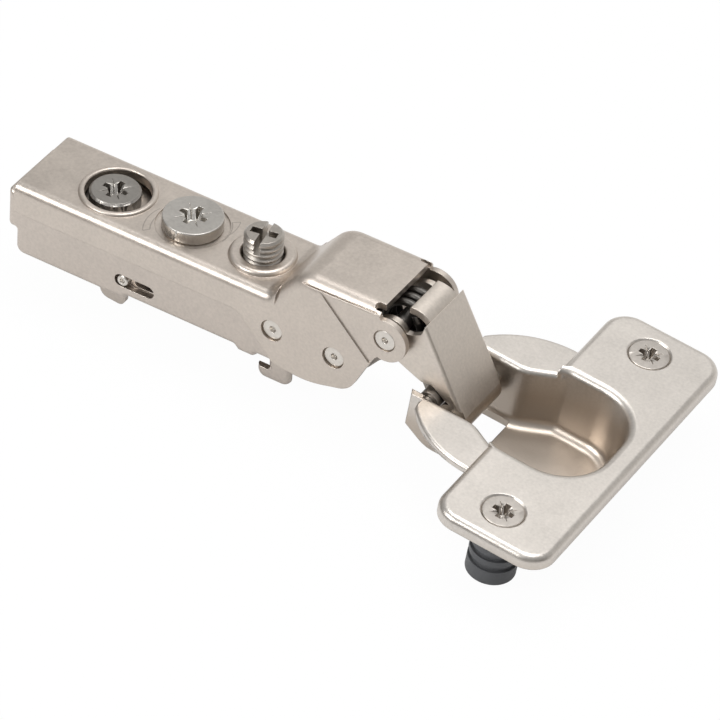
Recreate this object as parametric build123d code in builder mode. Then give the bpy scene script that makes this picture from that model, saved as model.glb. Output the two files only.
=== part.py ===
from build123d import *
import os
from math import asin, atan2, cos, degrees, hypot, radians, sin, tan

os.makedirs("parts", exist_ok=True)

# Cranked cabinet hinge, opened as far as it goes.
# The origin is the seat of the front hook on the mounting plate, midway between its two cheeks.
# +X runs along the arm towards the cup, +Z points out of the cabinet side, Y lies along the pins.

# Sheet thicknesses and clearances
arm_sheet = 1.2
channel_sheet = 1.1
base_sheet = 1.1
latch_sheet = 1.0
link_sheet = 1.2
inner_sheet = 1.0
cup_sheet = 1.1
slide_gap = 0.15
running_gap = 0.05
seat_gap = 0.01
play = 0.3

# Arm
arm_width = 16.4
arm_rear_x = -47.2
arm_top = 16.4
arm_skirt_z = 11.1
arm_bend = 1.7
hump_bend = 2.4
hump_bend_x = 1.6
crank_x = 0.35
crank_angle = 51
crank_inside_bend = 2.0
crank_outside_bend = 4.6
hump_top = 23.0
hump_front_x = 20.3
groove_inset = 0.62
groove_rear = (5.8, 21.85)
groove_front = (19.6, 22.1)
groove_width = 0.22
ear_radius = 3.85
ear_inset = 0.22
crease_top = (9.6, 21.6)
crease_foot = (19.0, 12.1)
lobe_front_z = 5.0
lobe_low_x = 8.2
lobe_low_z = 2.95
lobe_rear_z = 3.7
lobe_rear_x = -5.0
notch_y = 6.75
notch_length = 1.7
notch_width = 1.3

# Pivots, as (X, Z) in the side view
spring_pivot = (1.4, 10.0)
inner_pivot = (12.7, 10.0)
outer_pivot = (21.4, 17.5)
outer_cup_pivot = (32.81, 5.42)
inner_cup_pivot = (29.37, 8.47)
rivet_radius = 1.4
rivet_flare = 1.95
rivet_dimple = 0.6
rivet_taper = 25
rivet_edge = 0.2
rivet_flare_depth = 0.6
rivet_head = 0.25
rivet_inset = 0.35
cup_pin_radius = 1.5
inner_pin_radius = 1.0

# Adjusters on top of the arm
tilt_x = -45.4
tilt_rib_radius = 1.3
lock_x = arm_rear_x + 13.8
lock_opening_x = -32.8
lock_opening_radius = 5.4
lock_rim = 1.0
lock_rim_height = 0.45
mouth_round = 0.35
lock_head_radius = 4.2
lock_head_top = 16.75
lock_shank_radius = 1.9
cam_x = -18.8
cam_head_radius = 4.95
cam_head_top = 18.3
cam_head_height = 2.0
cam_edge = 0.2
cam_recess_radius = 6.0
cam_recess = 0.3
cam_stem_radius = 3.0
cam_peg_radius = 1.5
cam_eccentricity = 1.155
cam_rest_angle = 42
depth_in = 0.3
depth_out = 1.7
screw_x = -5.7
screw_radius = 3.2
screw_top = 21.0
screw_pitch = 1.0
screw_collar_radius = 5.5
screw_collar_height = 0.8
screw_neck_radius = 1.5
screw_button_radius = 2.3
recess_size = 4.4
recess_wing = 0.95
recess_core = 0.3
recess_taper = 12
screw_grooves = 5
thread_depth = 0.5
thread_gap = 0.4
thread_crest = 0.3
screw_edge = 0.4
side_slot = 1.05
side_cross = 1.3
side_slot_angle = 10
side_slot_depth = 2.4
button_height = 0.9
lock_shank_length = 6.6
lock_boss_wall = 1.05
lock_boss_drop = 2.0
cam_slot_gap = 0.25
cam_peg_reach = 0.6
tilt_rib_half = 5.0

# Adjusting channel, clip base and release latch
channel_drop = 2.6
channel_front_x = -2.6
channel_floor = 2.35
channel_toe = 1.5
channel_toe_x = -6.3
channel_toe_length = 2.7
base_front_x = -3.2
base_floor = 3.3
hook_slot = 1.0
hook_front_x = 3.6
hook_rear_x = -2.5
hook_drop = 2.8
hook_throat_x = -0.5
window_gap = 0.6
window_end = 6.4
window_height = 2.0
latch_pivot = (-27.2, 5.4)
latch_pin_radius = 1.0
pin_edge = 0.15
pin_dimple = 0.45
slot_play = 0.15
slot_length = 5.0
channel_rear_x = arm_rear_x - 2.1
channel_body_rear_x = arm_rear_x - 0.55
channel_heel_z = 1.6
channel_tail_z = 6.4
base_rear_x = -44.5
hook_slot_length = 3.4
latch_foot_z = -2.0
latch_rear_x = -45.5
latch_front_wall_x = -20.0
latch_foot_rear = 5.7
latch_wire = 0.8
latch_spring_pitch = 0.95
latch_whole_turns = 4
latch_leg_angle = 70

# Links
link_width = 11.8
link_bend = 0.6
link_web_offset = 7.0
link_angle = 61.3
inner_width = 9.2
spring_wire = 1.3
spring_pitch = 1.7
spring_coil_radius = 3.3
spring_whole_turns = 3
spring_short_leg = 1.3
spring_long_leg = 19.5
wire_bend = 0.02
link_lobe_radius = 2.95
link_foot_half = 5.3
link_tab_half = 4.0
link_tab_x = 23.3
link_tab_top = 22.55
link_roll = 4.2
flange_end = 16.1
inner_knuckle_radius = 1.75
inner_knuckle_half = 6.9
inner_eye = 3.85
inner_eye_low = 2.9
inner_eye_high = 3.0
arch_x = 9.5
arch_low = 1.7
arch_depth = 2.3
arch_foot_x = 6.6
arch_foot_drop = 1.1
arch_end_x = 6.0
arch_end_z = 3.5
throat_x = 2.7
throat_z = 1.5
throat_depth = 1.4
knuckle_tip = (0.9, 1.1)
knuckle_heel = (1.3, 1.1)
wander_x = 1.75
wander_z = 0.7

# Cup
cup_tilt = 6
cup_diameter = 35
screw_spacing = 45
screw_offset = 9.5
plate_length = 58.4
plate_depth = 20.1
plate_start = 0.15
plate_corner = 4.4
plate_rim = 2.3
ear_drop = 1.4
cup_depth = 13.0
pocket_half_width = 10.9
pocket_front = 16.2
pocket_corner = 8.5
neck_half_width = 7.7
flange_head_radius = 3.3
dowel_radius = 4.0
dowel_length = 11.0
flange_screw_radius = 1.75
plate_screw_x = 52.02
plate_screw_z = 9.03
plate_roll = 1.3
ear_outer_radius = 17.1
ear_tip = -13.3
neck_end = -4.4
pocket_taper = 6
ear_roll = 0.6
floor_bend = 3.0
floor_start = -3.0
cheek_notch = 0.0
cheek_low = -9.6
cheek_high = 7.0
dowel_rib = 0.45
dowel_groove = 1.1
dowel_grooves = 3
dowel_first = 4.0
dowel_step = 2.2
flange_sink = 0.35
flange_head_edge = 0.25
flange_screw_length = 13.0
flange_head_round = 0.15
flange_recess = 3.5
flange_recess_depth = 1.6

# Sizes worked out from those above
arm_half = arm_width / 2
arm_inner_half = arm_half - arm_sheet
channel_half = arm_inner_half - slide_gap
channel_inner_half = channel_half - channel_sheet
base_half = channel_inner_half - slide_gap
base_inner_half = base_half - base_sheet
latch_half = base_inner_half - slide_gap
latch_inner_half = latch_half - latch_sheet
link_half = link_width / 2
link_inner_half = link_half - link_sheet + 0.1
inner_half = inner_width / 2
inner_inner_half = inner_half - inner_sheet
arm_under = arm_top - arm_sheet
channel_top = arm_top - channel_drop
channel_under = channel_top - channel_sheet
base_top = channel_under - slide_gap
base_under = base_top - base_sheet
hump_under = hump_top - arm_sheet
tilt_z = arm_under - running_gap - tilt_rib_radius
travel = depth_in + depth_out
mid_travel = (depth_out - depth_in) / 2
deep = 60


def side_face(points, radii, y=0.0):
    """A closed outline in the side view at a given Y, with a bend radius at each corner."""
    with BuildSketch(Plane.XZ.offset(-y)) as outline:
        with BuildLine():
            FilletPolyline(*points, radius=radii, close=True)
        make_face()
    return outline.sketch


def side_disc(centre, radius, y=0.0):
    """A disc in the side view at a given Y."""
    with BuildSketch(Plane.XZ.offset(-y)) as outline:
        with Locations(centre):
            Circle(radius)
    return outline.sketch


def cross_recess(x, y, height, depth, size):
    """The tool that sinks a cross recess into a screw head."""
    with BuildPart(mode=Mode.PRIVATE) as tool:
        with BuildSketch(Plane.XY.offset(height)):
            with Locations((x, y)):
                Rectangle(size, recess_wing)
                Rectangle(recess_wing, size)
                Circle(size * recess_core)
        extrude(amount=-depth, taper=recess_taper)
    return tool.part


def crank_corners(inset):
    """Corners of the arm's top line where it climbs to the hump, set in by a thickness."""
    shift = inset * tan(radians(crank_angle / 2))
    foot = (crank_x + shift, arm_top - inset)
    rise = (hump_top - arm_top) / tan(radians(crank_angle))
    return foot, (crank_x + rise + shift, hump_top - inset)


def wound(place, pitch, turns, radius, wire, legs):
    """A coil spring along the Z of a place, with a straight leg at each end."""
    with BuildPart(mode=Mode.PRIVATE) as coil:
        with BuildLine():
            helix = Helix(pitch, pitch * turns, radius)
        with BuildSketch(Plane(helix @ 0, z_dir=helix % 0)):
            Circle(wire / 2)
        sweep(path=helix)
        for end, length in enumerate(legs):
            tangent = (helix % end) * (2 * end - 1)
            with Locations(helix @ end):
                Sphere(wire / 2 + wire_bend)
            with BuildSketch(Plane(helix @ end, z_dir=(tangent.X, tangent.Y, 0))):
                Circle(wire / 2 - wire_bend)
            extrude(amount=length)
    return coil.part.moved(place.location)


def faces_at(piece, height):
    """The flat faces that lie level at a height."""
    return piece.faces().filter_by(Plane.XY).filter_by_position(Axis.Z, height - seat_gap, height + seat_gap)


def rivet(pivot, radius, half):
    """A rivet along Y, with an upset head and a dimple at each end."""
    with BuildPart(mode=Mode.PRIVATE) as shank:
        extrude(side_disc(pivot, radius), amount=half, both=True)
        for side in (-1, 1):
            head = side_disc(pivot, rivet_flare - running_gap, side * half)
            extrude(head, amount=side * rivet_head)
        chamfer(shank.edges().filter_by(GeomType.CIRCLE).group_by(Axis.Y)[0], rivet_edge)
        chamfer(shank.edges().filter_by(GeomType.CIRCLE).group_by(Axis.Y)[-1], rivet_edge)
        for side in (-1, 1):
            dimple = side_disc(pivot, rivet_dimple, side * half)
            extrude(dimple, amount=side * rivet_dimple, taper=rivet_taper, mode=Mode.SUBTRACT)
    return shank.part


# Arm: one folded sheet with a low rear part, a crank, a hump and two front ears
foot, brow = crank_corners(0)
foot_in, brow_in = crank_corners(arm_sheet)
ear_x, ear_z = outer_pivot
top_line = side_face(
    [
        (arm_rear_x, arm_top),
        foot,
        brow,
        (hump_front_x, hump_top),
        (hump_front_x, -deep),
        (arm_rear_x, -deep),
    ],
    [0, crank_inside_bend, crank_outside_bend, 0, 0, 0],
)
with BuildPart() as arm:
    # The fold is tight along the rear part and wider round the hump
    for bend, begin, end in (
        (arm_bend, arm_rear_x, hump_bend_x),
        (hump_bend, hump_bend_x, hump_front_x),
    ):
        with BuildPart(mode=Mode.PRIVATE) as block:
            extrude(top_line, amount=arm_half, both=True)
            top_edges = block.edges().filter_by_position(Axis.Z, arm_top - arm_bend, hump_top + arm_bend)
            fillet(top_edges.filter_by(Axis.Y, reverse=True), bend)
            with BuildSketch(Plane.YZ.offset(begin)):
                Rectangle(2 * arm_width, 4 * deep)
            extrude(amount=end - begin, mode=Mode.INTERSECT)
        add(block)
    inside = side_face(
        [
            (arm_rear_x - play, arm_under),
            foot_in,
            brow_in,
            (hump_front_x + play, hump_under),
            (hump_front_x + play, -deep - play),
            (arm_rear_x - play, -deep - play),
        ],
        [0, crank_inside_bend + arm_sheet, crank_outside_bend - arm_sheet, 0, 0, 0],
    )
    extrude(inside, amount=arm_inner_half, both=True, mode=Mode.SUBTRACT)
    cheek_outline = side_face(
        [
            (arm_rear_x, arm_top + deep),
            (hump_front_x, arm_top + deep),
            (hump_front_x, ear_z - ear_radius + 0.1),
            (ear_x - 1.8, ear_z - 4.6),
            (ear_x - 5.5, lobe_front_z),
            (lobe_low_x, lobe_low_z),
            (spring_pivot[0] + 0.4, lobe_rear_z),
            (lobe_rear_x, arm_skirt_z),
            (arm_rear_x, arm_skirt_z),
        ],
        [0, 0, 0, 1.2, 4.0, 15, 2.5, 3.0, 0],
    )
    extrude(cheek_outline, amount=arm_half, both=True, mode=Mode.INTERSECT)
    for side in (-1, 1):
        ear = side_disc(outer_pivot, ear_radius, side * arm_inner_half)
        extrude(ear, amount=-side * arm_sheet)
    # A groove parts the rounded shoulder from the cheek, which is set in ahead of a crease
    for side in (-1, 1):
        groove = side_face(
            [
                groove_rear,
                groove_front,
                (groove_front[0], groove_front[1] - groove_width),
                (groove_rear[0], groove_rear[1] - groove_width),
            ],
            0,
            side * (arm_half - groove_inset),
        )
        extrude(groove, amount=-side * arm_sheet, mode=Mode.SUBTRACT)
        crease = side_face(
            [
                crease_top,
                crease_foot,
                (ear_x + 2 * ear_radius, crease_foot[1]),
                (ear_x + 2 * ear_radius, crease_top[1]),
            ],
            0,
            side * (arm_half - ear_inset),
        )
        extrude(crease, amount=-side * arm_sheet, mode=Mode.SUBTRACT)
    # Relief notches at the hump's front corners
    with BuildSketch(Plane.XY.offset(hump_under - play)):
        with Locations(*[(hump_front_x, side * notch_y) for side in (-1, 1)]):
            SlotCenterToCenter(notch_length, notch_width)
    extrude(amount=arm_sheet + 2 * play, mode=Mode.SUBTRACT)
    # Rolled rim round the lock screw's opening, recess for the cam and collar for the side screw
    with BuildSketch(Plane.XY.offset(arm_top - play)):
        with Locations((lock_opening_x, 0)):
            Circle(lock_opening_radius + lock_rim)
    extrude(amount=lock_rim_height + play)
    fillet(faces_at(arm, arm_top + lock_rim_height).edges(), lock_rim_height - seat_gap)
    with BuildSketch(Plane.XY.offset(arm_top - play)):
        with Locations((screw_x, 0)):
            Circle(screw_collar_radius)
    extrude(amount=screw_collar_height + play)
    fillet(faces_at(arm, arm_top + screw_collar_height).edges(), screw_collar_height - seat_gap)
    with BuildSketch(Plane.XY.offset(arm_under - play)):
        with Locations((lock_opening_x, 0)):
            Circle(lock_opening_radius)
        with Locations((screw_x, 0)):
            Circle(screw_radius + play)
        with Locations((cam_x, 0)):
            Circle(cam_stem_radius + running_gap)
    extrude(amount=deep / 10, mode=Mode.SUBTRACT)
    for height in (lock_rim_height, screw_collar_height):
        rings = faces_at(arm, arm_top + height).edges().filter_by(GeomType.CIRCLE)
        fillet(rings.sort_by(SortBy.RADIUS)[0], mouth_round)
    with BuildSketch(Plane.XY.offset(arm_top)):
        with Locations((cam_x, 0)):
            Circle(cam_recess_radius)
    extrude(amount=-cam_recess, mode=Mode.SUBTRACT)
    for pivot in (spring_pivot, inner_pivot, outer_pivot):
        extrude(side_disc(pivot, rivet_radius + seat_gap), amount=arm_width, both=True, mode=Mode.SUBTRACT)
        for side in (-1, 1):
            flare = side_disc(pivot, rivet_flare, side * arm_half)
            extrude(flare, amount=side * rivet_flare_depth, mode=Mode.SUBTRACT)
arm.part.label = "arm"
export_step(arm.part, "parts/arm.step")

# Rivets through the arm: spring anchor, inner link pivot and outer link pivot
for name, pivot in (
    ("spring_anchor_rivet", spring_pivot),
    ("inner_link_rivet", inner_pivot),
    ("outer_link_rivet", outer_pivot),
):
    pin = rivet(pivot, rivet_radius, arm_half - rivet_inset)
    pin.label = name
    export_step(pin, f"parts/{name}.step")

# Adjusting channel: slides along the base, rocks the arm on its rib
slot_rear = latch_pivot[0] - latch_pin_radius - slot_play - depth_in
slot_front = latch_pivot[0] + latch_pin_radius + slot_length
toe_slant = channel_floor - channel_toe
toe_front = channel_toe_x + channel_toe_length + 2 * toe_slant
with BuildPart() as adjusting_channel:
    wall = side_face(
        [
            (channel_rear_x, channel_top),
            (channel_front_x, channel_top),
            (channel_front_x + 1.2, 7.0),
            (channel_front_x + 3.6, 6.2),
            (channel_front_x + 3.6, channel_floor),
            (toe_front, channel_floor),
            (toe_front - toe_slant, channel_toe),
            (channel_toe_x + toe_slant, channel_toe),
            (channel_toe_x, channel_floor),
            (latch_pivot[0] + 0.8, channel_floor),
            (latch_pivot[0] + 0.3, channel_heel_z),
            (channel_body_rear_x, channel_heel_z),
            (channel_body_rear_x, channel_tail_z),
            (channel_rear_x, channel_tail_z),
        ],
        [0.4, 0.8, 1.2, 0.5, 0.8, 0.4, 0.4, 0.4, 0.4, 0.4, 0.4, 1.6, 0.3, 0.8],
    )
    extrude(wall, amount=channel_half, both=True)
    fillet(faces_at(adjusting_channel, channel_top).edges().filter_by(Axis.X), channel_sheet)
    hollow = side_face(
        [
            (channel_rear_x - play, channel_under),
            (channel_front_x + deep, channel_under),
            (channel_front_x + deep, -deep),
            (channel_rear_x - play, -deep),
        ],
        0,
    )
    extrude(hollow, amount=channel_inner_half, both=True, mode=Mode.SUBTRACT)
    rib = side_disc((tilt_x, tilt_z), tilt_rib_radius)
    extrude(rib, amount=tilt_rib_half, both=True)
    extrude(hollow, amount=channel_inner_half, both=True, mode=Mode.SUBTRACT)
    with BuildSketch(Plane.XZ):
        with Locations(((slot_rear + slot_front) / 2, latch_pivot[1])):
            SlotOverall(slot_front - slot_rear, 2 * (latch_pin_radius + slot_play))
    extrude(amount=channel_half, both=True, mode=Mode.SUBTRACT)
    with BuildSketch(Plane.XY.offset(channel_under)):
        lock_slot = 2 * (lock_shank_radius + play) + travel
        with Locations((lock_x + mid_travel, 0)):
            SlotOverall(lock_slot, 2 * (lock_shank_radius + play))
        with Locations((cam_x, 0)):
            Circle(cam_peg_radius + cam_eccentricity + play)
        with Locations((screw_x, 0)):
            Circle(screw_neck_radius + running_gap)
    extrude(amount=deep / 10, mode=Mode.SUBTRACT)
adjusting_channel.part.label = "adjusting_channel"
export_step(adjusting_channel.part, "parts/adjusting_channel.step")

# Clip base: the innermost channel, hooked on the mounting plate at the front
cam_angle = radians(cam_rest_angle)
cam_slot_x = cam_x - mid_travel
cam_slot_half = cam_peg_radius + cam_eccentricity + 2 * play
with BuildPart() as clip_base:
    wall = side_face(
        [
            (base_rear_x, base_top),
            (base_front_x, base_top),
            (base_front_x + 1.0, 7.2),
            (hook_front_x, 6.4),
            (hook_front_x, -hook_drop),
            (hook_rear_x, -hook_drop),
            (hook_rear_x, 0),
            (hook_throat_x, 0),
            (hook_throat_x, base_floor),
            (base_rear_x, base_floor),
        ],
        [1.0, 1.0, 1.2, 1.0, 1.5, 1.6, 0, 0, 0.8, 1.0],
    )
    extrude(wall, amount=base_half, both=True)
    fillet(faces_at(clip_base, base_top).edges().filter_by(Axis.X), base_sheet)
    hollow = side_face(
        [
            (base_rear_x - play, base_under),
            (hook_front_x + play, base_under),
            (hook_front_x + play, -deep),
            (base_rear_x - play, -deep),
        ],
        0,
    )
    extrude(hollow, amount=base_inner_half, both=True, mode=Mode.SUBTRACT)
    with BuildSketch(Plane.XZ):
        with Locations((-hook_slot_length / 2, 0)):
            SlotOverall(hook_slot_length, hook_slot)
    extrude(amount=base_half, both=True, mode=Mode.SUBTRACT)
    with BuildSketch(Plane.XY.offset(base_under)):
        with Locations((lock_x, 0)):
            Circle(lock_shank_radius + lock_boss_wall)
    extrude(amount=-lock_boss_drop)
    with BuildSketch(Plane.XY.offset(base_under - lock_boss_drop)):
        with Locations((lock_x, 0)):
            Circle(lock_shank_radius + running_gap)
        with Locations((cam_slot_x, 0)):
            SlotOverall(2 * cam_slot_half, 2 * (cam_peg_radius + cam_slot_gap), rotation=90)
        with Locations((screw_x - mid_travel, 0)):
            SlotOverall(2 * (screw_button_radius + play) + travel, 2 * (screw_button_radius + play))
    extrude(amount=deep / 10, mode=Mode.SUBTRACT)
    bore = side_disc(latch_pivot, latch_pin_radius + seat_gap)
    extrude(bore, amount=base_half, both=True, mode=Mode.SUBTRACT)
    # Windows ahead of the pin, behind the channel's slots
    window_rear = latch_pivot[0] + latch_pin_radius + window_gap
    window_front = latch_pivot[0] + window_end
    with BuildSketch(Plane.XZ):
        with Locations(((window_rear + window_front) / 2, latch_pivot[1])):
            SlotOverall(window_front - window_rear, window_height)
    extrude(amount=base_half, both=True, mode=Mode.SUBTRACT)
clip_base.part.label = "clip_base"
export_step(clip_base.part, "parts/clip_base.step")

# Latch pin: its ends run in the channel's side slots
with BuildPart() as latch_pin:
    extrude(side_disc(latch_pivot, latch_pin_radius), amount=channel_half, both=True)
    chamfer(latch_pin.edges().filter_by(GeomType.CIRCLE), pin_edge)
    for side in (-1, 1):
        dimple = side_disc(latch_pivot, pin_dimple, side * channel_half)
        extrude(dimple, amount=side * pin_dimple, taper=rivet_taper, mode=Mode.SUBTRACT)
latch_pin.part.label = "latch_pin"
export_step(latch_pin.part, "parts/latch_pin.step")

# Release latch: a lever whose foot catches the mounting plate and whose rear tab is pressed
pivot_x, pivot_z = latch_pivot
with BuildPart() as release_latch:
    wall = side_face(
        [
            (latch_rear_x, pivot_z + 1.9),
            (pivot_x + 1.6, pivot_z + 2.4),
            (pivot_x + 2.4, pivot_z - 1.4),
            (pivot_x - 0.9, pivot_z - 3.2),
            (pivot_x - 0.9, latch_foot_z),
            (pivot_x - latch_foot_rear, latch_foot_z + 0.5),
            (pivot_x - latch_foot_rear, pivot_z - 2.0),
            (latch_rear_x, pivot_z - 0.6),
        ],
        [1.0, 1.5, 1.5, 0.8, 1.2, 1.8, 1.0, 1.0],
    )
    extrude(wall, amount=latch_half, both=True)
    hollow = side_face(
        [
            (latch_rear_x + latch_sheet, pivot_z + 2 * deep),
            (latch_front_wall_x, pivot_z + 2 * deep),
            (latch_front_wall_x, -deep),
            (pivot_x - latch_foot_rear + latch_sheet, -deep),
            (pivot_x - latch_foot_rear + latch_sheet, pivot_z - 1.0),
            (latch_rear_x + latch_sheet, pivot_z),
        ],
        0,
    )
    extrude(hollow, amount=latch_inner_half, both=True, mode=Mode.SUBTRACT)
    bore = side_disc(latch_pivot, latch_pin_radius + running_gap)
    extrude(bore, amount=latch_half, both=True, mode=Mode.SUBTRACT)
release_latch.part.label = "release_latch"
export_step(release_latch.part, "parts/release_latch.step")

# Latch spring: coiled round the latch pin, one leg under the base's top, the other behind the foot
latch_coil = latch_pin_radius + 2 * running_gap + latch_wire / 2
latch_turns = latch_whole_turns + latch_leg_angle / 360
latch_run = latch_turns * latch_spring_pitch
latch_leg = (base_under - pivot_z - latch_wire) / sin(radians(latch_leg_angle))
latch_coil_plane = Plane(
    origin=(pivot_x, -latch_run / 2, pivot_z),
    x_dir=(sin(radians(latch_leg_angle)), 0, -cos(radians(latch_leg_angle))),
    z_dir=(0, 1, 0),
)
with BuildPart() as latch_spring:
    legs = (latch_leg, latch_foot_rear - latch_sheet - running_gap)
    add(wound(latch_coil_plane, latch_spring_pitch, latch_turns, latch_coil, latch_wire, legs))
latch_spring.part.label = "latch_spring"
export_step(latch_spring.part, "parts/latch_spring.step")

# Lock screw: clamps the channel to the base
with BuildPart() as lock_screw:
    with BuildSketch(Plane.XY.offset(channel_top + running_gap)):
        with Locations((lock_x, 0)):
            Circle(lock_head_radius)
    extrude(amount=lock_head_top - channel_top - running_gap)
    chamfer(lock_screw.faces().sort_by(Axis.Z)[-1].edges(), 0.35)
    with BuildSketch(Plane.XY.offset(channel_top + running_gap)):
        with Locations((lock_x, 0)):
            Circle(lock_shank_radius)
    extrude(amount=-lock_shank_length)
    add(cross_recess(lock_x, 0, lock_head_top, 1.8, recess_size), mode=Mode.SUBTRACT)
lock_screw.part.label = "lock_screw"
export_step(lock_screw.part, "parts/lock_screw.step")

# Depth cam: its head sits in the arm, its peg stands off centre and runs in a cross slot of the base
peg_x = cam_x - cam_eccentricity * sin(cam_angle)
peg_y = cam_eccentricity * cos(cam_angle)
cam_seat = arm_top - cam_recess + running_gap
with BuildPart() as depth_cam:
    with BuildSketch(Plane.XY.offset(cam_head_top - cam_head_height)):
        with Locations((cam_x, 0)):
            Circle(cam_head_radius)
    extrude(amount=cam_head_height)
    fillet(depth_cam.faces().sort_by(Axis.Z)[-1].edges(), cam_edge)
    with BuildSketch(Plane.XY.offset(cam_seat)):
        with Locations((cam_x, 0)):
            Circle(cam_head_radius - 0.3)
    extrude(amount=cam_head_top - cam_head_height - cam_seat)
    with BuildSketch(Plane.XY.offset(cam_seat)):
        with Locations((cam_x, 0)):
            Circle(cam_stem_radius)
    extrude(amount=-(cam_seat - arm_under))
    with BuildSketch(Plane.XY.offset(arm_under)):
        with Locations((peg_x, peg_y)):
            Circle(cam_peg_radius)
    extrude(amount=-(arm_under - base_under - cam_peg_reach))
    add(cross_recess(cam_x, 0, cam_head_top, 1.8, recess_size * 1.1), mode=Mode.SUBTRACT)
depth_cam.part.label = "depth_cam"
export_step(depth_cam.part, "parts/depth_cam.step")

# Side screw: threaded through the arm's collar, its button held in the channel
side_profile = [
    (0, screw_top),
    (screw_radius - screw_edge, screw_top),
    (screw_radius, screw_top - screw_edge),
]
for turn in range(screw_grooves):
    crest = screw_top - screw_edge - thread_crest - turn * screw_pitch
    side_profile += [
        (screw_radius, crest),
        (screw_radius - thread_depth, crest - thread_gap),
        (screw_radius, crest - 2 * thread_gap),
    ]
neck_top = channel_top + running_gap
neck_low = channel_under - running_gap
side_profile += [
    (screw_radius, neck_top),
    (screw_neck_radius, neck_top),
    (screw_neck_radius, neck_low),
    (screw_button_radius, neck_low),
    (screw_button_radius, neck_low - button_height),
    (0, neck_low - button_height),
]
with BuildPart() as side_screw:
    with BuildSketch(Plane.XZ):
        with BuildLine():
            Polyline(*[(screw_x + radius, height) for radius, height in side_profile], close=True)
        make_face()
    revolve(axis=Axis((screw_x, 0, 0), (0, 0, 1)))
    with BuildSketch(Plane.XY.offset(screw_top)):
        with Locations((screw_x, 0)):
            Rectangle(side_slot, 2 * screw_radius + play, rotation=side_slot_angle)
            Rectangle(side_cross, recess_size, rotation=side_slot_angle + 90)
    extrude(amount=-side_slot_depth, mode=Mode.SUBTRACT)
side_screw.part.label = "side_screw"
export_step(side_screw.part, "parts/side_screw.step")

# Torsion spring: coiled round the outer link's rivet, its long leg on the anchor rivet
anchor_x, anchor_z = spring_pivot
reach = hypot(ear_x - anchor_x, ear_z - anchor_z)
leg_rise = rivet_radius + running_gap + spring_wire / 2
leg_slope = degrees(atan2(ear_z - anchor_z, ear_x - anchor_x) - asin((spring_coil_radius + leg_rise) / reach))
spring_start = 90 - link_angle
spring_turns = spring_whole_turns + (spring_start + 90 - leg_slope) / 360
coil_run = spring_pitch * spring_turns
coil_plane = Plane(
    origin=(outer_pivot[0], -coil_run / 2, outer_pivot[1]),
    x_dir=(cos(radians(spring_start)), 0, sin(radians(spring_start))),
    z_dir=(0, 1, 0),
)
with BuildPart() as torsion_spring:
    legs = (spring_short_leg, spring_long_leg)
    add(wound(coil_plane, spring_pitch, spring_turns, spring_coil_radius, spring_wire, legs))
torsion_spring.part.label = "torsion_spring"
export_step(torsion_spring.part, "parts/torsion_spring.step")

# Outer link: a channel whose web rolls over at the top and curls round the cup pin at the bottom
along = (cos(radians(link_angle)), -sin(radians(link_angle)))
outward = (-along[1], along[0])


def on_link(down, out):
    """A point of the side view, from its way down the web and out from the rivet."""
    x = outer_pivot[0] + down * along[0] + out * outward[0]
    return (x, outer_pivot[1] + down * along[1] + out * outward[1])


def roll_corner(out, height):
    """Where the web's line at a given distance from the rivet meets a given height."""
    down = (height - on_link(0, out)[1]) / along[1]
    return on_link(down, out)


web_in = link_web_offset - link_sheet
curl_radius = cup_pin_radius + running_gap + link_sheet
with BuildPart() as outer_link:
    flange = side_face(
        [
            on_link(-0.2, 2.4),
            on_link(0.45, 3.7),
            on_link(0.45, 5.7),
            on_link(-0.8, link_web_offset),
            on_link(14.9, link_web_offset),
            on_link(12.5, 5.05),
            on_link(9.6, 3.8),
            on_link(8.7, 1.9),
            on_link(4.98, -0.8),
            on_link(1.1, -link_lobe_radius + 0.25),
            on_link(-0.5, -1.0),
        ],
        [0, 1.1, 1.1, 0, 0, 3.0, 1.0, 1.5, 4.0, 0, 0],
    )
    extrude(flange, amount=link_half, both=True)
    extrude(side_disc(outer_pivot, link_lobe_radius), amount=link_half, both=True)
    space = side_face(
        [on_link(-deep, web_in), on_link(deep, web_in), on_link(deep, -deep), on_link(-deep, -deep)],
        0,
    )
    extrude(space, amount=link_inner_half, both=True, mode=Mode.SUBTRACT)
    web = side_face(
        [
            on_link(13, link_web_offset),
            on_link(flange_end, link_web_offset),
            on_link(flange_end, web_in),
            on_link(13, web_in),
        ],
        0,
    )
    extrude(web, amount=link_foot_half, both=True)
    tab = side_face(
        [
            (link_tab_x, link_tab_top),
            roll_corner(link_web_offset, link_tab_top + 0.2),
            on_link(2, link_web_offset),
            on_link(2, web_in),
            roll_corner(web_in, link_tab_top + 0.2 - link_sheet),
            (link_tab_x, link_tab_top - link_sheet),
        ],
        [0.3, link_roll, 0, 0, link_roll - link_sheet, 0.3],
    )
    extrude(tab, amount=link_tab_half, both=True)
    fold = outer_link.edges().filter_by(Axis((0, 0, 0), (along[0], 0, along[1])))
    fold_edges = fold.filter_by_position(Axis.Y, link_half - seat_gap, link_half + seat_gap)
    fold_edges += fold.filter_by_position(Axis.Y, -link_half - seat_gap, -link_half + seat_gap)
    fillet(fold_edges, link_bend)
    extrude(side_disc(outer_cup_pivot, curl_radius), amount=link_foot_half, both=True)
    bore = side_disc(outer_cup_pivot, cup_pin_radius + running_gap)
    extrude(bore, amount=link_half, both=True, mode=Mode.SUBTRACT)
    bore = side_disc(outer_pivot, rivet_radius + running_gap)
    extrude(bore, amount=link_half, both=True, mode=Mode.SUBTRACT)
outer_link.part.label = "outer_link"
export_step(outer_link.part, "parts/outer_link.step")

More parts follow.
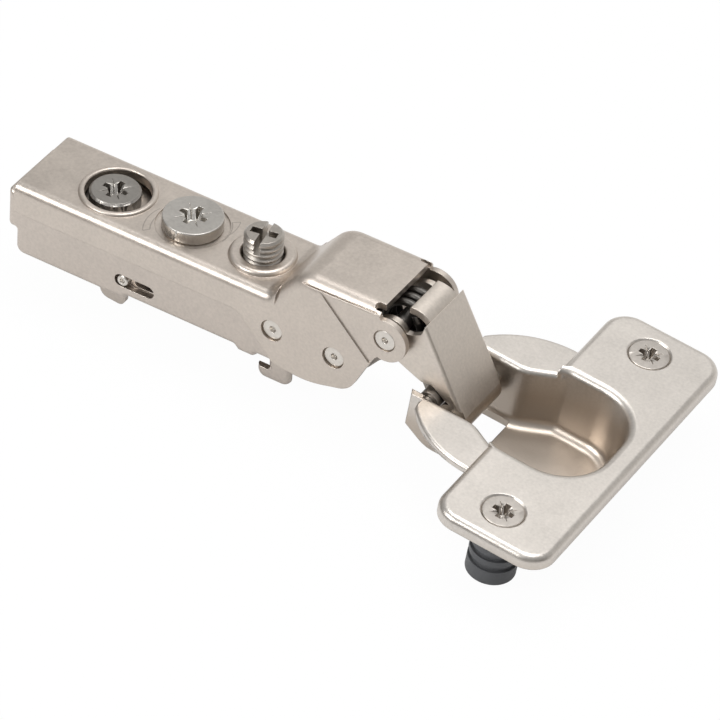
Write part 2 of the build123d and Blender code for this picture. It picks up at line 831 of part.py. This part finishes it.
# Inner link: an arched channel, its arm end free to wander in a slot round the rivet
ix, iz = inner_pivot
ex, ez = inner_cup_pivot
with BuildPart() as inner_link:
    arch = side_face(
        [
            (ix - inner_eye, iz - inner_eye_low),
            (ix - inner_eye, iz + inner_eye_high),
            (ix + inner_eye, iz + inner_eye_high),
            (ix + arch_x, iz + arch_low + arch_depth),
            (ex - throat_x, ez + throat_z + throat_depth),
            (ex + knuckle_tip[0], ez + knuckle_tip[1]),
            (ex - knuckle_heel[0], ez - knuckle_heel[1]),
            (ex - throat_x, ez + throat_z),
            (ex - arch_end_x, ez + arch_end_z),
            (ix + arch_foot_x, iz + arch_low - arch_foot_drop),
            (ix + inner_eye, iz - inner_eye_low),
        ],
        [2.6, 2.6, 2, 4, 2, 0, 0, 2, 3, 3, 2.4],
    )
    extrude(arch, amount=inner_half, both=True)
    hollow = side_face(
        [
            (ix - deep, iz + deep),
            (ex - throat_x, iz + deep),
            (ex - throat_x, ez + throat_z + inner_sheet),
            (ex - arch_end_x, ez + arch_end_z + inner_sheet),
            (ix + arch_foot_x, iz + arch_low - arch_foot_drop + inner_sheet),
            (ix + arch_foot_x - inner_sheet, -deep),
            (ix - deep, -deep),
        ],
        [0, 0, 0, 3, 0, 0, 0],
    )
    extrude(hollow, amount=inner_inner_half, both=True, mode=Mode.SUBTRACT)
    extrude(side_disc(inner_cup_pivot, inner_knuckle_radius), amount=inner_knuckle_half, both=True)
    bore = side_disc(inner_cup_pivot, inner_pin_radius + running_gap)
    extrude(bore, amount=inner_knuckle_half, both=True, mode=Mode.SUBTRACT)
    with BuildSketch(Plane.XZ):
        with Locations((ix, iz + 0.1)):
            SlotOverall(2 * (rivet_radius + wander_x), 2 * (rivet_radius + wander_z))
    extrude(amount=inner_half, both=True, mode=Mode.SUBTRACT)
inner_link.part.label = "inner_link"
export_step(inner_link.part, "parts/inner_link.step")

# Cup: pressed in one piece, with a plate for the screws, two crescent ears and an open neck
cup_slope = radians(cup_tilt)
cup_centre = (plate_screw_x - screw_offset * cos(cup_slope), plate_screw_z + screw_offset * sin(cup_slope))
cup_plane = Plane(
    origin=(cup_centre[0], 0, cup_centre[1]),
    x_dir=(cos(cup_slope), 0, -sin(cup_slope)),
    z_dir=(sin(cup_slope), 0, cos(cup_slope)),
)
bore_radius = cup_diameter / 2
plate_mid = plate_start + plate_depth / 2


def pocket_face(level, grow):
    """The pocket's outline at a level of the cup, grown by a wall."""
    side = pocket_half_width + grow
    neck = neck_half_width + grow
    points = [
        (pocket_front + grow, side),
        (neck_end + 5.8, side),
        (neck_end, neck),
        (-deep, neck),
    ]
    radii = [pocket_corner + grow, 3.5 + grow, 5.0 - grow, 0]
    with BuildSketch(cup_plane.offset(level)) as outline:
        with BuildLine():
            FilletPolyline(
                *points, *[(p, -y) for p, y in reversed(points)],
                radius=radii + radii[::-1], close=True,
            )
        make_face()
    return outline.sketch


up_cup = Axis((0, 0, 0), cup_plane.z_dir)
side_of_cup = Plane(origin=cup_plane.origin, x_dir=cup_plane.x_dir, z_dir=(0, -1, 0))

with BuildPart() as cup:
    # Plate with its rim rolled down to the door
    with BuildSketch(cup_plane):
        with Locations((plate_mid, 0)):
            RectangleRounded(plate_depth, plate_length, plate_corner)
    extrude(amount=-plate_rim)
    fillet(cup.faces().sort_by(up_cup)[-1].edges(), plate_roll)
    with BuildSketch(cup_plane.offset(-plate_rim)):
        with Locations((plate_mid, 0)):
            RectangleRounded(
                plate_depth - 2 * cup_sheet, plate_length - 2 * cup_sheet, plate_corner - cup_sheet
            )
    extrude(amount=plate_rim - cup_sheet, mode=Mode.SUBTRACT)
    # Crescent ears, lower than the plate, with their outer edge rounded over
    with BuildPart(mode=Mode.PRIVATE) as ears:
        with BuildSketch(cup_plane.offset(-ear_drop)):
            Circle(ear_outer_radius)
        extrude(amount=-cup_sheet)
        fillet(ears.faces().sort_by(up_cup)[-1].edges(), ear_roll)
        with BuildSketch(cup_plane):
            with Locations((plate_start + 1 + deep / 2, 0), (ear_tip - deep / 2, 0)):
                Rectangle(deep, deep)
        extrude(amount=-cup_depth, mode=Mode.SUBTRACT)
    add(ears)
    # Pocket wall and floor, kept inside the bore that the door is drilled with
    with BuildPart(mode=Mode.PRIVATE) as wall:
        extrude(pocket_face(0, cup_sheet), amount=-cup_depth, taper=pocket_taper)
        fillet(wall.faces().sort_by(up_cup)[0].edges().filter_by_position(
            Axis((0, 0, 0), cup_plane.x_dir), neck_end, deep * 2), floor_bend)
        with BuildSketch(cup_plane.offset(-cup_depth)):
            Circle(bore_radius)
        extrude(amount=cup_depth, mode=Mode.INTERSECT)
        with BuildSketch(cup_plane):
            with Locations((plate_start - deep / 2, 0)):
                Rectangle(deep, deep)
        extrude(amount=-ear_drop, mode=Mode.SUBTRACT)
    add(wall)
    with BuildPart(mode=Mode.PRIVATE) as pocket:
        extrude(pocket_face(0, 0), amount=-(cup_depth - cup_sheet), taper=pocket_taper)
        bottom = pocket.faces().sort_by(up_cup)[0]
        fillet(bottom.edges(), floor_bend - cup_sheet)
    add(pocket, mode=Mode.SUBTRACT)
    # The floor stops short of the neck and the cheeks run on, sloping up to the bore's edge
    with BuildSketch(side_of_cup):
        with BuildLine():
            FilletPolyline(
                (floor_start, -deep), (floor_start, cheek_notch - cup_depth),
                (cheek_low, -cup_depth + cheek_notch), (-bore_radius, -cheek_high),
                (-bore_radius - 1, -cheek_high), (-bore_radius - 1, -deep),
                radius=[0.8, 2.0, 1.0, 0, 0, 0], close=True,
            )
        make_face()
    extrude(amount=deep, both=True, mode=Mode.SUBTRACT)
    with Locations(*[cup_plane * Pos(screw_offset, side * screw_spacing / 2, 0) for side in (-1, 1)]):
        mouth_radius = flange_head_radius + flange_sink
        CounterSinkHole(flange_screw_radius + running_gap, mouth_radius, counter_sink_angle=90)
    for pivot, radius in ((outer_cup_pivot, cup_pin_radius), (inner_cup_pivot, inner_pin_radius)):
        extrude(side_disc(pivot, radius + seat_gap), amount=bore_radius, both=True, mode=Mode.SUBTRACT)
cup.part.label = "cup"
export_step(cup.part, "parts/cup.step")

# Pins across the cup's cheeks, one for each link
pin_half = neck_half_width + cup_sheet
for name, pivot, radius in (
    ("outer_link_cup_pin", outer_cup_pivot, cup_pin_radius),
    ("inner_link_cup_pin", inner_cup_pivot, inner_pin_radius),
):
    with BuildPart() as cup_pin:
        extrude(side_disc(pivot, radius), amount=pin_half, both=True)
        chamfer(cup_pin.edges().filter_by(GeomType.CIRCLE), rivet_edge)
    cup_pin.part.label = name
    export_step(cup_pin.part, f"parts/{name}.step")

# Dowels under the plate and the screws that spread them
dowel_places = [cup_plane * Pos(screw_offset, side * screw_spacing / 2, 0) for side in (-1, 1)]
with BuildPart() as dowel:
    with BuildSketch(Plane.XY.offset(-cup_sheet - seat_gap)):
        Circle(dowel_radius)
        Circle(flange_screw_radius + running_gap, mode=Mode.SUBTRACT)
    extrude(amount=-dowel_length)
    mouth = dowel.edges().filter_by(GeomType.CIRCLE).group_by(Axis.Z)[-1].sort_by(SortBy.RADIUS)[0]
    chamfer(mouth, flange_head_radius + flange_sink - flange_screw_radius - cup_sheet + running_gap)
    for rib in range(dowel_grooves):
        with BuildSketch(Plane.XY.offset(-dowel_first - rib * dowel_step)):
            Circle(dowel_radius + play)
            Circle(dowel_radius - dowel_rib, mode=Mode.SUBTRACT)
        extrude(amount=-dowel_groove, mode=Mode.SUBTRACT)
with BuildPart() as dowels:
    with Locations(*dowel_places):
        add(dowel.part)
dowels.part.label = "dowels"
export_step(dowels.part, "parts/dowels.step")

with BuildPart() as flange_screw:
    with BuildSketch(Plane.XY.offset(flange_head_edge - flange_sink)):
        Circle(flange_head_radius)
    extrude(amount=-flange_head_edge)
    fillet(flange_screw.faces().sort_by(Axis.Z)[-1].edges(), flange_head_round)
    with BuildSketch(Plane.XY.offset(-flange_sink)):
        Circle(flange_head_radius)
    extrude(amount=-(flange_head_radius - flange_screw_radius), taper=45)
    with BuildSketch(Plane.XY.offset(-flange_sink)):
        Circle(flange_screw_radius)
    extrude(amount=-flange_screw_length)
    head_top = flange_head_edge - flange_sink
    add(cross_recess(0, 0, head_top, flange_recess_depth, flange_recess), mode=Mode.SUBTRACT)
with BuildPart() as flange_screws:
    with Locations(*dowel_places):
        add(flange_screw.part)
flange_screws.part.label = "flange_screws"
export_step(flange_screws.part, "parts/flange_screws.step")
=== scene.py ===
from math import cos, pi, radians, sin, tan

import bpy
from mathutils import Matrix, Vector


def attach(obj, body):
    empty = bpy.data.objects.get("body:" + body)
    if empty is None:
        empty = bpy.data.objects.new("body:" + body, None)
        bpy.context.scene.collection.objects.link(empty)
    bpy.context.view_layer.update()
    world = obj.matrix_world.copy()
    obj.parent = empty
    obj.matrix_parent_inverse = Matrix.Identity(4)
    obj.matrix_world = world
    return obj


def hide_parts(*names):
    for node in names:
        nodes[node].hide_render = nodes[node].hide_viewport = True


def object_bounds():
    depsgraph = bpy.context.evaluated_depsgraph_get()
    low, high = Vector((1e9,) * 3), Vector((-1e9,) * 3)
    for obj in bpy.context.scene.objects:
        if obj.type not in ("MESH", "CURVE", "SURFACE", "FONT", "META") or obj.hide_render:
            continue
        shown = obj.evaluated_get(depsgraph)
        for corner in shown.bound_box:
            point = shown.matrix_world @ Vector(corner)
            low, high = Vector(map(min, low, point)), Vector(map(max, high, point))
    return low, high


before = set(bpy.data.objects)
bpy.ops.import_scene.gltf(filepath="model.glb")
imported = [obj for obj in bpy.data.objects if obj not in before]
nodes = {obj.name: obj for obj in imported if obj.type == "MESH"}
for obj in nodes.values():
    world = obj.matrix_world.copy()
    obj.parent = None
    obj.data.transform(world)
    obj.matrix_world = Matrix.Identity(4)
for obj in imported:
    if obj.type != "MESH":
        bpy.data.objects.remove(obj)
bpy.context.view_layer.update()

# Studio: a long lens from above the near side, two soft boxes and a dim dome,
# and a pale floor that the hinge lies on, drawn out to white behind it.
scene = bpy.context.scene
scene.view_settings.view_transform = "Standard"
to_right = Vector((0.850, 0.524, 0.058)).normalized()
to_ground = Vector((0.376, -0.525, -0.764))
to_ground = (to_ground - to_ground.dot(to_right) * to_right).normalized()
ahead = to_right.cross(to_ground)
rivet_seen = Vector((0.0214, -0.0082, 0.0175))
distance = 0.8585
eye = rivet_seen - 0.00361 * to_right + 0.00277 * to_ground - distance * ahead
lens = bpy.data.cameras.new("camera")
lens.lens = 279.45
lens.sensor_width = 36.0
lens.clip_start = 0.01
camera = bpy.data.objects.new("camera", lens)
facing = Matrix((to_right, -to_ground, -ahead)).transposed().to_4x4()
camera.matrix_world = Matrix.Translation(eye) @ facing
scene.collection.objects.link(camera)
scene.camera = camera


def soft_box(name, place, width, height, power, aim=(0.0, 0.0, 0.0)):
    """A rectangular lamp that faces a point."""
    lamp = bpy.data.lights.new(name, "AREA")
    lamp.shape = "RECTANGLE"
    lamp.size = width
    lamp.size_y = height
    lamp.energy = power
    holder = bpy.data.objects.new(name, lamp)
    holder.location = place
    holder.rotation_euler = (Vector(aim) - Vector(place)).to_track_quat("-Z", "Y").to_euler()
    scene.collection.objects.link(holder)


soft_box("overhead_box", (0.04, 0.08, 0.62), 0.46, 0.30, 2.0)
soft_box("back_box", (-0.02, 0.52, 0.62), 0.46, 0.30, 0.24)
soft_box("near_box", (-0.32, -0.50, 0.50), 0.40, 0.22, 2.6)


class Wire:
    """A socket in a material's node tree. A sum written on it adds the Math nodes that work it out."""

    def __init__(self, tree, socket=None):
        self.tree = tree
        self.socket = socket

    def node(self, kind, settings, inputs, output=0):
        """Adds a node: its settings first, then the values or links of its sockets."""
        made = self.tree.nodes.new(kind)
        for name, value in settings.items():
            if name == "stops":
                ramp = made.color_ramp
                while len(ramp.elements) < len(value):
                    ramp.elements.new(0.5)
                for stop, (place, colour) in zip(ramp.elements, value):
                    stop.position = place
                    stop.color = colour
            else:
                setattr(made, name, value)
        for name, value in inputs.items():
            if isinstance(value, Wire):
                self.tree.links.new(value.socket, made.inputs[name])
            else:
                made.inputs[name].default_value = value
        return Wire(self.tree, made.outputs[output] if made.outputs else None)

    def maths(self, operation, *values):
        return self.node("ShaderNodeMath", {"operation": operation}, dict(enumerate(values)))

    def __add__(self, other):
        return self.maths("ADD", self, other)

    __radd__ = __add__

    def __mul__(self, other):
        return self.maths("MULTIPLY", self, other)

    __rmul__ = __mul__

    def __sub__(self, other):
        return self.maths("SUBTRACT", self, other)

    def __rsub__(self, other):
        return self.maths("SUBTRACT", other, self)

    def __lt__(self, other):
        return self.maths("LESS_THAN", self, other)

    def __gt__(self, other):
        return self.maths("GREATER_THAN", self, other)

    def __abs__(self):
        return self.maths("ABSOLUTE", self)

    def __pow__(self, other):
        return self.maths("POWER", self, other)


def new_tree(name):
    """A material with an empty node tree."""
    material = bpy.data.materials.new(name)
    material.use_nodes = True
    material.node_tree.nodes.clear()
    return material, Wire(material.node_tree)


dome = bpy.data.worlds.new("dome")
dome.use_nodes = True
dome.node_tree.nodes.clear()
air = Wire(dome.node_tree)
seen = air.node("ShaderNodeLightPath", {}, {}, "Is Camera Ray")
way = air.node("ShaderNodeTexCoord", {}, {}, "Generated")
height = air.node("ShaderNodeSeparateXYZ", {}, {0: way}, 2)
far_side = air.node("ShaderNodeSeparateXYZ", {}, {0: way}, 1)
grey = air.node("ShaderNodeValToRGB", {"stops": [
    (0.0, (0.15, 0.14, 0.13, 1)), (0.22, (0.20, 0.19, 0.18, 1)), (0.50, (0.38, 0.38, 0.38, 1)),
    (1.0, (0.56, 0.57, 0.58, 1)),
]}, {0: height})
wall = air.node("ShaderNodeMix", {"data_type": "RGBA"}, {
    0: far_side * (1 - height) * 1.2, 6: grey, 7: (1.0, 0.99, 0.97, 1),
}, 2)
around = air.node("ShaderNodeBackground", {}, {"Color": wall, "Strength": 1.0})
behind = air.node("ShaderNodeBackground", {}, {"Color": (1, 1, 1, 1), "Strength": 1.0})
sky = air.node("ShaderNodeMixShader", {}, {0: seen, 1: around, 2: behind})
air.node("ShaderNodeOutputWorld", {}, {0: sky})
scene.world = dome

floor_gap = 0.0002
floor_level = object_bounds()[0][2] - floor_gap
bpy.ops.mesh.primitive_plane_add(size=6.0, location=(0.0, 0.0, floor_level))
floor = bpy.context.object
floor.name = "floor"
paper, wire = new_tree("white_paper")
seen = wire.node("ShaderNodeLightPath", {}, {}, "Is Camera Ray")
mirrored = wire.node("ShaderNodeLightPath", {}, {}, "Is Glossy Ray")
matt = wire.node("ShaderNodeBsdfPrincipled", {}, {"Base Color": (0.86, 0.86, 0.86, 1), "Roughness": 0.9})
glow = wire.node("ShaderNodeEmission", {}, {"Color": (1, 1, 1, 1), "Strength": 1.0})
sheet = wire.node("ShaderNodeMixShader", {}, {0: seen * 0.97 + mirrored * 0.30, 1: matt, 2: glow})
wire.node("ShaderNodeOutputMaterial", {}, {0: sheet})
floor.data.materials.append(paper)


# Arm: deep-drawn steel sheet, folded to a channel and cranked, then barrel nickelled.
# The plating is satin, faintly mottled, and rubbed bright along every bend and edge.
def plated(name, colour, dull, grain=1.0, edge=0.00016, marks=None, shade_below=None):
    """Satin metal plating: a fine mottle, drawing lines, edges rubbed brighter, pressed marks with painted
    shade in them, and painted shade deep in a hollow.
    """
    material, wire = new_tree(name)
    place = wire.node("ShaderNodeTexCoord", {}, {}, "Object")
    cloud = wire.node("ShaderNodeTexNoise", {}, {"Vector": place, "Scale": 150.0, "Detail": 3.0})
    speck = wire.node("ShaderNodeTexNoise", {}, {"Vector": place, "Scale": 2100.0, "Detail": 3.0})
    along = wire.node("ShaderNodeMapping", {}, {"Vector": place, "Scale": (260.0, 5200.0, 5200.0)})
    lines = wire.node("ShaderNodeTexNoise", {}, {"Vector": along, "Scale": 1.0, "Detail": 2.0})
    softened = wire.node("ShaderNodeBevel", {"samples": 6}, {"Radius": edge})
    flat = wire.node("ShaderNodeNewGeometry", {}, {}, "True Normal")
    turned = wire.node("ShaderNodeVectorMath", {"operation": "DOT_PRODUCT"}, {0: softened, 1: flat}, "Value")
    rubbed = wire.node("ShaderNodeClamp", {}, {0: (1 - turned) * 5.0})
    tone = wire.node("ShaderNodeMix", {"data_type": "RGBA"}, {
        0: cloud * 0.6 + speck * 0.9 + rubbed * 0.35 - 0.25,
        6: tuple(c * 0.80 for c in colour) + (1,),
        7: tuple(min(c * 1.12, 1.0) for c in colour) + (1,),
    }, 2)
    # Painted shade in the cup's hollow: below the level given, the colour darkens and warms with depth.
    if shade_below:
        up = wire.node("ShaderNodeSeparateXYZ", {}, {0: place}, 2)
        painted_shade = wire.node("ShaderNodeClamp", {}, {0: (shade_below - up) * 260.0})
        tone = wire.node("ShaderNodeMix", {"data_type": "RGBA"}, {
            0: painted_shade * 0.8, 6: tone, 7: tuple(c * d for c, d in zip(colour, (0.76, 0.70, 0.64))) + (1,),
        }, 2)
    height = speck * 0.7 + lines * 0.3
    rough = cloud * (0.18 * grain) + speck * (0.10 * grain) + lines * (0.06 * grain) + (dull - 0.14 * grain)
    if marks:
        pressed = marks(wire, place)
        height = height - pressed * 2.5
        # Painted shade: the colour is darkened along the pressed lines, standing in for the shade that falls
        # in their grooves.
        tone = wire.node("ShaderNodeMix", {"data_type": "RGBA"}, {
            0: pressed * 0.55, 6: tone, 7: tuple(c * 0.45 for c in colour) + (1,),
        }, 2)
    relief = wire.node("ShaderNodeBump", {}, {
        "Strength": 0.22 * grain, "Distance": 0.00006, "Height": height, "Normal": softened,
    })
    shade = wire.node("ShaderNodeBsdfPrincipled", {}, {
        "Base Color": tone, "Metallic": 1.0, "Roughness": rough - rubbed * 0.08, "Normal": relief,
    })
    wire.node("ShaderNodeOutputMaterial", {}, {0: shade})
    return material


def between(value, low, high):
    """One where a value lies between two limits, else nought."""
    return (value > low) * (value < high)


cam_x = -0.0188
arm_top = 0.0164
mark_half = 0.00009
mark_sweep = 0.85


def turning_marks(wire, place):
    """Two thin crescents pressed round the depth cam, which show that it turns."""
    x = wire.node("ShaderNodeSeparateXYZ", {}, {0: place}, 0) - cam_x
    y = wire.node("ShaderNodeSeparateXYZ", {}, {0: place}, 1)
    up = wire.node("ShaderNodeSeparateXYZ", {}, {0: place}, 2)
    reach = (x * x + y * y) ** 0.5
    marks = 0
    for way, outer, flare, inner, lean in (
        (radians(-134), 0.0081, 0.0020, 0.00694, 0.0019),
        (radians(40), 0.00762, 0.0027, 0.0063, 0.0002),
    ):
        ahead = x * cos(way) + y * sin(way)
        aside = y * cos(way) - x * sin(way)
        swing = wire.maths("ARCTAN2", aside, ahead)
        arc = between(swing, -mark_sweep, 0.0)
        rim = abs(reach - swing * flare - outer) < mark_half
        core = abs(reach - swing * lean - inner) < mark_half
        cap = (abs(swing) < 0.016) * between(reach, inner, outer)
        marks = marks + arc * rim + arc * core + cap
    return wire.node("ShaderNodeClamp", {}, {0: marks}) * (up > arm_top - 0.0001)


def dress(node, material):
    """Gives a CAD node its finish."""
    held = nodes[node].data.materials
    held.clear()
    held.append(material)


nickel = plated("nickel", (0.592, 0.530, 0.472), 0.36, marks=turning_marks)
dress("arm", nickel)

# Rivets: turned steel pins through the arm, upset at both ends and plated with it.
# Their ends are burnished brighter than the sheet round them.
rivet_steel = plated("rivet", (0.66, 0.62, 0.57), 0.30, 0.7)
for node in ("spring_anchor_rivet", "inner_link_rivet", "outer_link_rivet", "outer_link_cup_pin",
             "inner_link_cup_pin", "latch_pin"):
    dress(node, rivet_steel)

# Channel, clip base and latch: thinner sheet from the same plating barrel.
# They nest inside the arm and slide or rock in it.
inner_nickel = plated("channel_nickel", (0.574, 0.514, 0.461), 0.37)
for node in ("adjusting_channel", "clip_base", "release_latch"):
    dress(node, inner_nickel)

# Screws: turned or headed from steel wire and zinc plated, greyer and smoother than the sheet.
# Three adjust the arm and two hold the plate; each driven head has a cross recess with four ticks.
def edit_mesh(piece, *steps):
    """Runs mesh operators, each with its settings, on the whole of a piece."""
    bpy.ops.object.select_all(action="DESELECT")
    piece.select_set(True)
    bpy.context.view_layer.objects.active = piece
    bpy.ops.object.mode_set(mode="EDIT")
    bpy.ops.mesh.select_all(action="SELECT")
    for operator, settings in steps:
        operator(**settings)
    bpy.ops.object.mode_set(mode="OBJECT")


def merged_copy(node, name):
    """A copy of a CAD node with its corners merged, to be worked further."""
    piece = bpy.data.objects.new(name, nodes[node].data.copy())
    scene.collection.objects.link(piece)
    edit_mesh(piece, (bpy.ops.mesh.remove_doubles, {"threshold": 0.0000005}))
    return piece


def cutter_from(points, faces, place=None):
    """A closed solid for cutting, with its faces turned outwards."""
    shape = bpy.data.meshes.new("cutter")
    shape.from_pydata(points, [], faces)
    if place:
        shape.transform(place)
    cutter = bpy.data.objects.new("cutter", shape)
    scene.collection.objects.link(cutter)
    edit_mesh(cutter, (bpy.ops.mesh.normals_make_consistent, {"inside": False}))
    return cutter


def take_away(piece, cutter):
    """Cuts one solid out of another and throws the cutter away."""
    cut = piece.modifiers.new("cut", "BOOLEAN")
    cut.operation = "DIFFERENCE"
    cut.solver = "EXACT"
    cut.object = cutter
    bpy.context.view_layer.objects.active = piece
    bpy.ops.object.modifier_apply(modifier="cut")
    bpy.data.objects.remove(cutter)


def finished(piece, node, body, material, sharp):
    """Dresses a worked copy, shades it and lets it stand for its CAD node."""
    piece.data.materials.clear()
    piece.data.materials.append(material)
    piece.data.shade_smooth()
    piece.data.set_sharp_from_angle(angle=radians(sharp))
    even = piece.modifiers.new("even", "WEIGHTED_NORMAL")
    even.keep_sharp = True
    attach(piece, body)
    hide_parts(node)


wedge_faces = ((0, 1, 2), (3, 5, 4), (0, 3, 4, 1), (1, 4, 5, 2), (2, 5, 3, 0))
tick_overshoot = 0.0001
tick_inner = {"half": 0.00020, "depth": 0.00038}
tick_outer = {"half": 0.00010, "depth": 0.00012}


def tick_cutter(axis, top, inner, outer):
    """Four wedges round a screw's axis, which leave the short ticks between the wings of its recess."""
    points = []
    faces = []
    for quarter in range(4):
        turn = axis @ Matrix.Rotation(radians(45 + 90 * quarter), 4, "Z")
        start = len(points)
        for out, end in ((inner, tick_inner), (outer, tick_outer)):
            points += [
                turn @ Vector((out, -end["half"], top + tick_overshoot)),
                turn @ Vector((out, end["half"], top + tick_overshoot)),
                turn @ Vector((out, 0.0, top - end["depth"])),
            ]
        faces += [tuple(start + corner for corner in face) for face in wedge_faces]
    return cutter_from(points, faces)


lock_x = -0.0334
cup_tilt = radians(6)
cup_place = Matrix.Translation((0.042572, 0.0, 0.010023)) @ Matrix.Rotation(cup_tilt, 4, "Y")
plate_screws = [cup_place @ Matrix.Translation((0.0095, side, 0.0)) for side in (-0.0225, 0.0225)]
for node, body, axes, inner, outer, colour in (
    ("lock_screw", "lock_screw", [Matrix.Translation((lock_x, 0.0, 0.0))],
     0.0011, 0.0027, (0.34, 0.320, 0.295)),
    ("depth_cam", "depth_cam", [Matrix.Translation((cam_x, 0.0, 0.0))],
     0.0012, 0.0030, (0.53, 0.505, 0.470)),
    ("flange_screws", "cup", plate_screws,
     0.0010, 0.0022, (0.50, 0.462, 0.422)),
):
    zinc = plated(node + "_zinc", colour, 0.31, 0.8, 0.00010)
    screw = merged_copy(node, node + "_driven")
    for axis in axes:
        top = max((axis.inverted() @ vertex.co).z for vertex in screw.data.vertices)
        take_away(screw, tick_cutter(axis, top, inner, outer))
    finished(screw, node, body, zinc, 16)
dress("side_screw", plated("side_screw_zinc", (0.44, 0.405, 0.365), 0.31, 0.8, 0.00010))

# Springs: hard-drawn wire, oiled and left dark.
# One closes the hinge, the small one holds the latch.
spring_wire = plated("spring", (0.115, 0.108, 0.100), 0.38, 0.8)
for node in ("torsion_spring", "latch_spring"):
    dress(node, spring_wire)

# Links: the outer one is nickelled and faces the eye, the inner one is dull steel.
# Both are folded channels that turn on the rivets and the pins in the cup.
link_nickel = plated("link_nickel", (0.640, 0.578, 0.515), 0.34)
dress("outer_link", link_nickel)
link_steel = plated("link_steel", (0.36, 0.33, 0.30), 0.40)
dress("inner_link", link_steel)

# Cup: drawn from one sheet with its plate and ears, and nickelled inside and out.
# The plate's screws hold it to the door. The drawn hollow carries painted shade: its colour grows darker and
# warmer the deeper it lies below the plate.
# Its mouth is rolled, and the neck between the ears is cut open for the links.
cup_nickel = plated("cup_nickel", (0.64, 0.598, 0.552), 0.32, edge=0.00025, shade_below=0.0080)
wall_lean = tan(radians(6))
lip_clearance = 0.0004
lip_depth = 0.0006
mouth = [(-0.020, -0.0077), (-0.0044, -0.0077), (0.0014, -0.0109), (0.0162, -0.0109),
         (0.0162, 0.0109), (0.0014, 0.0109), (-0.0044, 0.0077), (-0.020, 0.0077)]
mouth_turns = [0.0050, 0.0035, 0.0085, 0.0085, 0.0035, 0.0050]
plate_roll = 0.0013
plate_start = -0.0010
plate_rear = 0.00010
ear_level = -0.0014
ear_roll = 0.0010
ear_rear = -0.0135
window_middle = (-0.0124, 0.0, -0.0112)
window_size = (0.016, 0.0122, 0.0056)


def rounded(corners, radii, steps=10):
    """An open line through corners, with each inner corner turned at its radius."""
    corners = [Vector(corner) for corner in corners]
    line = [corners[0]]
    for before, corner, after, radius in zip(corners, corners[1:], corners[2:], radii):
        back = (before - corner).normalized()
        on = (after - corner).normalized()
        half = back.angle(on) / 2
        centre = corner + (back + on).normalized() * radius / sin(half)
        start = corner + back * radius / tan(half) - centre
        end = corner + on * radius / tan(half) - centre
        turn = (pi - 2 * half) * (1 if start.x * end.y > start.y * end.x else -1)
        line += [centre + Matrix.Rotation(turn * step / steps, 2) @ start for step in range(steps + 1)]
    return line + [corners[-1]]


def clipped(line, low, high):
    """The part of a line between two values of X."""
    kept = []
    for here, there in zip(line, line[1:]):
        if low <= here.x <= high:
            kept.append(here)
        for limit in (low, high):
            if (here.x - limit) * (there.x - limit) < 0:
                kept.append(here.lerp(there, (limit - here.x) / (there.x - here.x)))
    return kept


def lip_cutter(line, level, roll, steps=8):
    """A solid that, taken away along the cup's mouth, leaves the edge there rolled."""
    edge = level * wall_lean
    section = [
        (edge + roll - roll * (1 + wall_lean) * sin(pi / 2 * step / steps),
         level - roll + roll * cos(pi / 2 * step / steps))
        for step in range(steps + 1)
    ]
    inner = section[-1][0] - lip_depth
    above = level + lip_clearance
    section += [(inner, level - roll), (inner, above), (edge + roll, above)]
    count = len(section)
    points = []
    for number, place in enumerate(line):
        ahead = line[min(number + 1, len(line) - 1)] - line[max(number - 1, 0)]
        outward = Vector((ahead.y, -ahead.x)).normalized()
        points += [
            (place.x + outward.x * out, place.y + outward.y * out, height) for out, height in section
        ]
    faces = [
        (row * count + side, row * count + (side + 1) % count,
         (row + 1) * count + (side + 1) % count, (row + 1) * count + side)
        for row in range(len(line) - 1) for side in range(count)
    ]
    faces += [tuple(range(count)), tuple(range(len(points) - 1, len(points) - 1 - count, -1))]
    return cutter_from(points, faces, cup_place)


cup = merged_copy("cup", "drawn_cup")
whole_mouth = rounded(mouth, mouth_turns)
middle = len(whole_mouth) // 2
take_away(cup, lip_cutter(clipped(whole_mouth, plate_start, 1.0), 0.0, plate_roll))
for side in (whole_mouth[:middle], whole_mouth[middle:]):
    take_away(cup, lip_cutter(clipped(side, ear_rear, plate_rear), ear_level, ear_roll))
bpy.ops.mesh.primitive_cube_add(size=1.0)
window = bpy.context.object
window.data.transform(
    cup_place @ Matrix.Translation(window_middle) @ Matrix.Diagonal(window_size + (1,)))
take_away(cup, window)
edit_mesh(
    cup,
    (bpy.ops.mesh.remove_doubles, {"threshold": 0.000002}),
    (bpy.ops.mesh.dissolve_limited, {"angle_limit": radians(0.4)}),
)
finished(cup, "cup", "cup", cup_nickel, 20)

# Dowels: moulded plastic, ribbed to bite the door, and spread by the screws.
# Dark grey with a fine spark-eroded mould texture.
dowel_grey, wire = new_tree("dowel_plastic")
place = wire.node("ShaderNodeTexCoord", {}, {}, "Object")
mould = wire.node("ShaderNodeTexNoise", {}, {"Vector": place, "Scale": 2200.0, "Detail": 2.0})
haze = wire.node("ShaderNodeTexNoise", {}, {"Vector": place, "Scale": 240.0, "Detail": 2.0})
tone = wire.node("ShaderNodeMix", {"data_type": "RGBA"}, {
    0: haze, 6: (0.060, 0.062, 0.066, 1), 7: (0.105, 0.108, 0.114, 1),
}, 2)
softened = wire.node("ShaderNodeBevel", {"samples": 6}, {"Radius": 0.00015})
relief = wire.node("ShaderNodeBump", {}, {
    "Strength": 0.3, "Distance": 0.00005, "Height": mould, "Normal": softened,
})
shade = wire.node("ShaderNodeBsdfPrincipled", {}, {
    "Base Color": tone, "Roughness": mould * 0.2 + 0.38, "Normal": relief,
})
wire.node("ShaderNodeOutputMaterial", {}, {0: shade})
dress("dowels", dowel_grey)
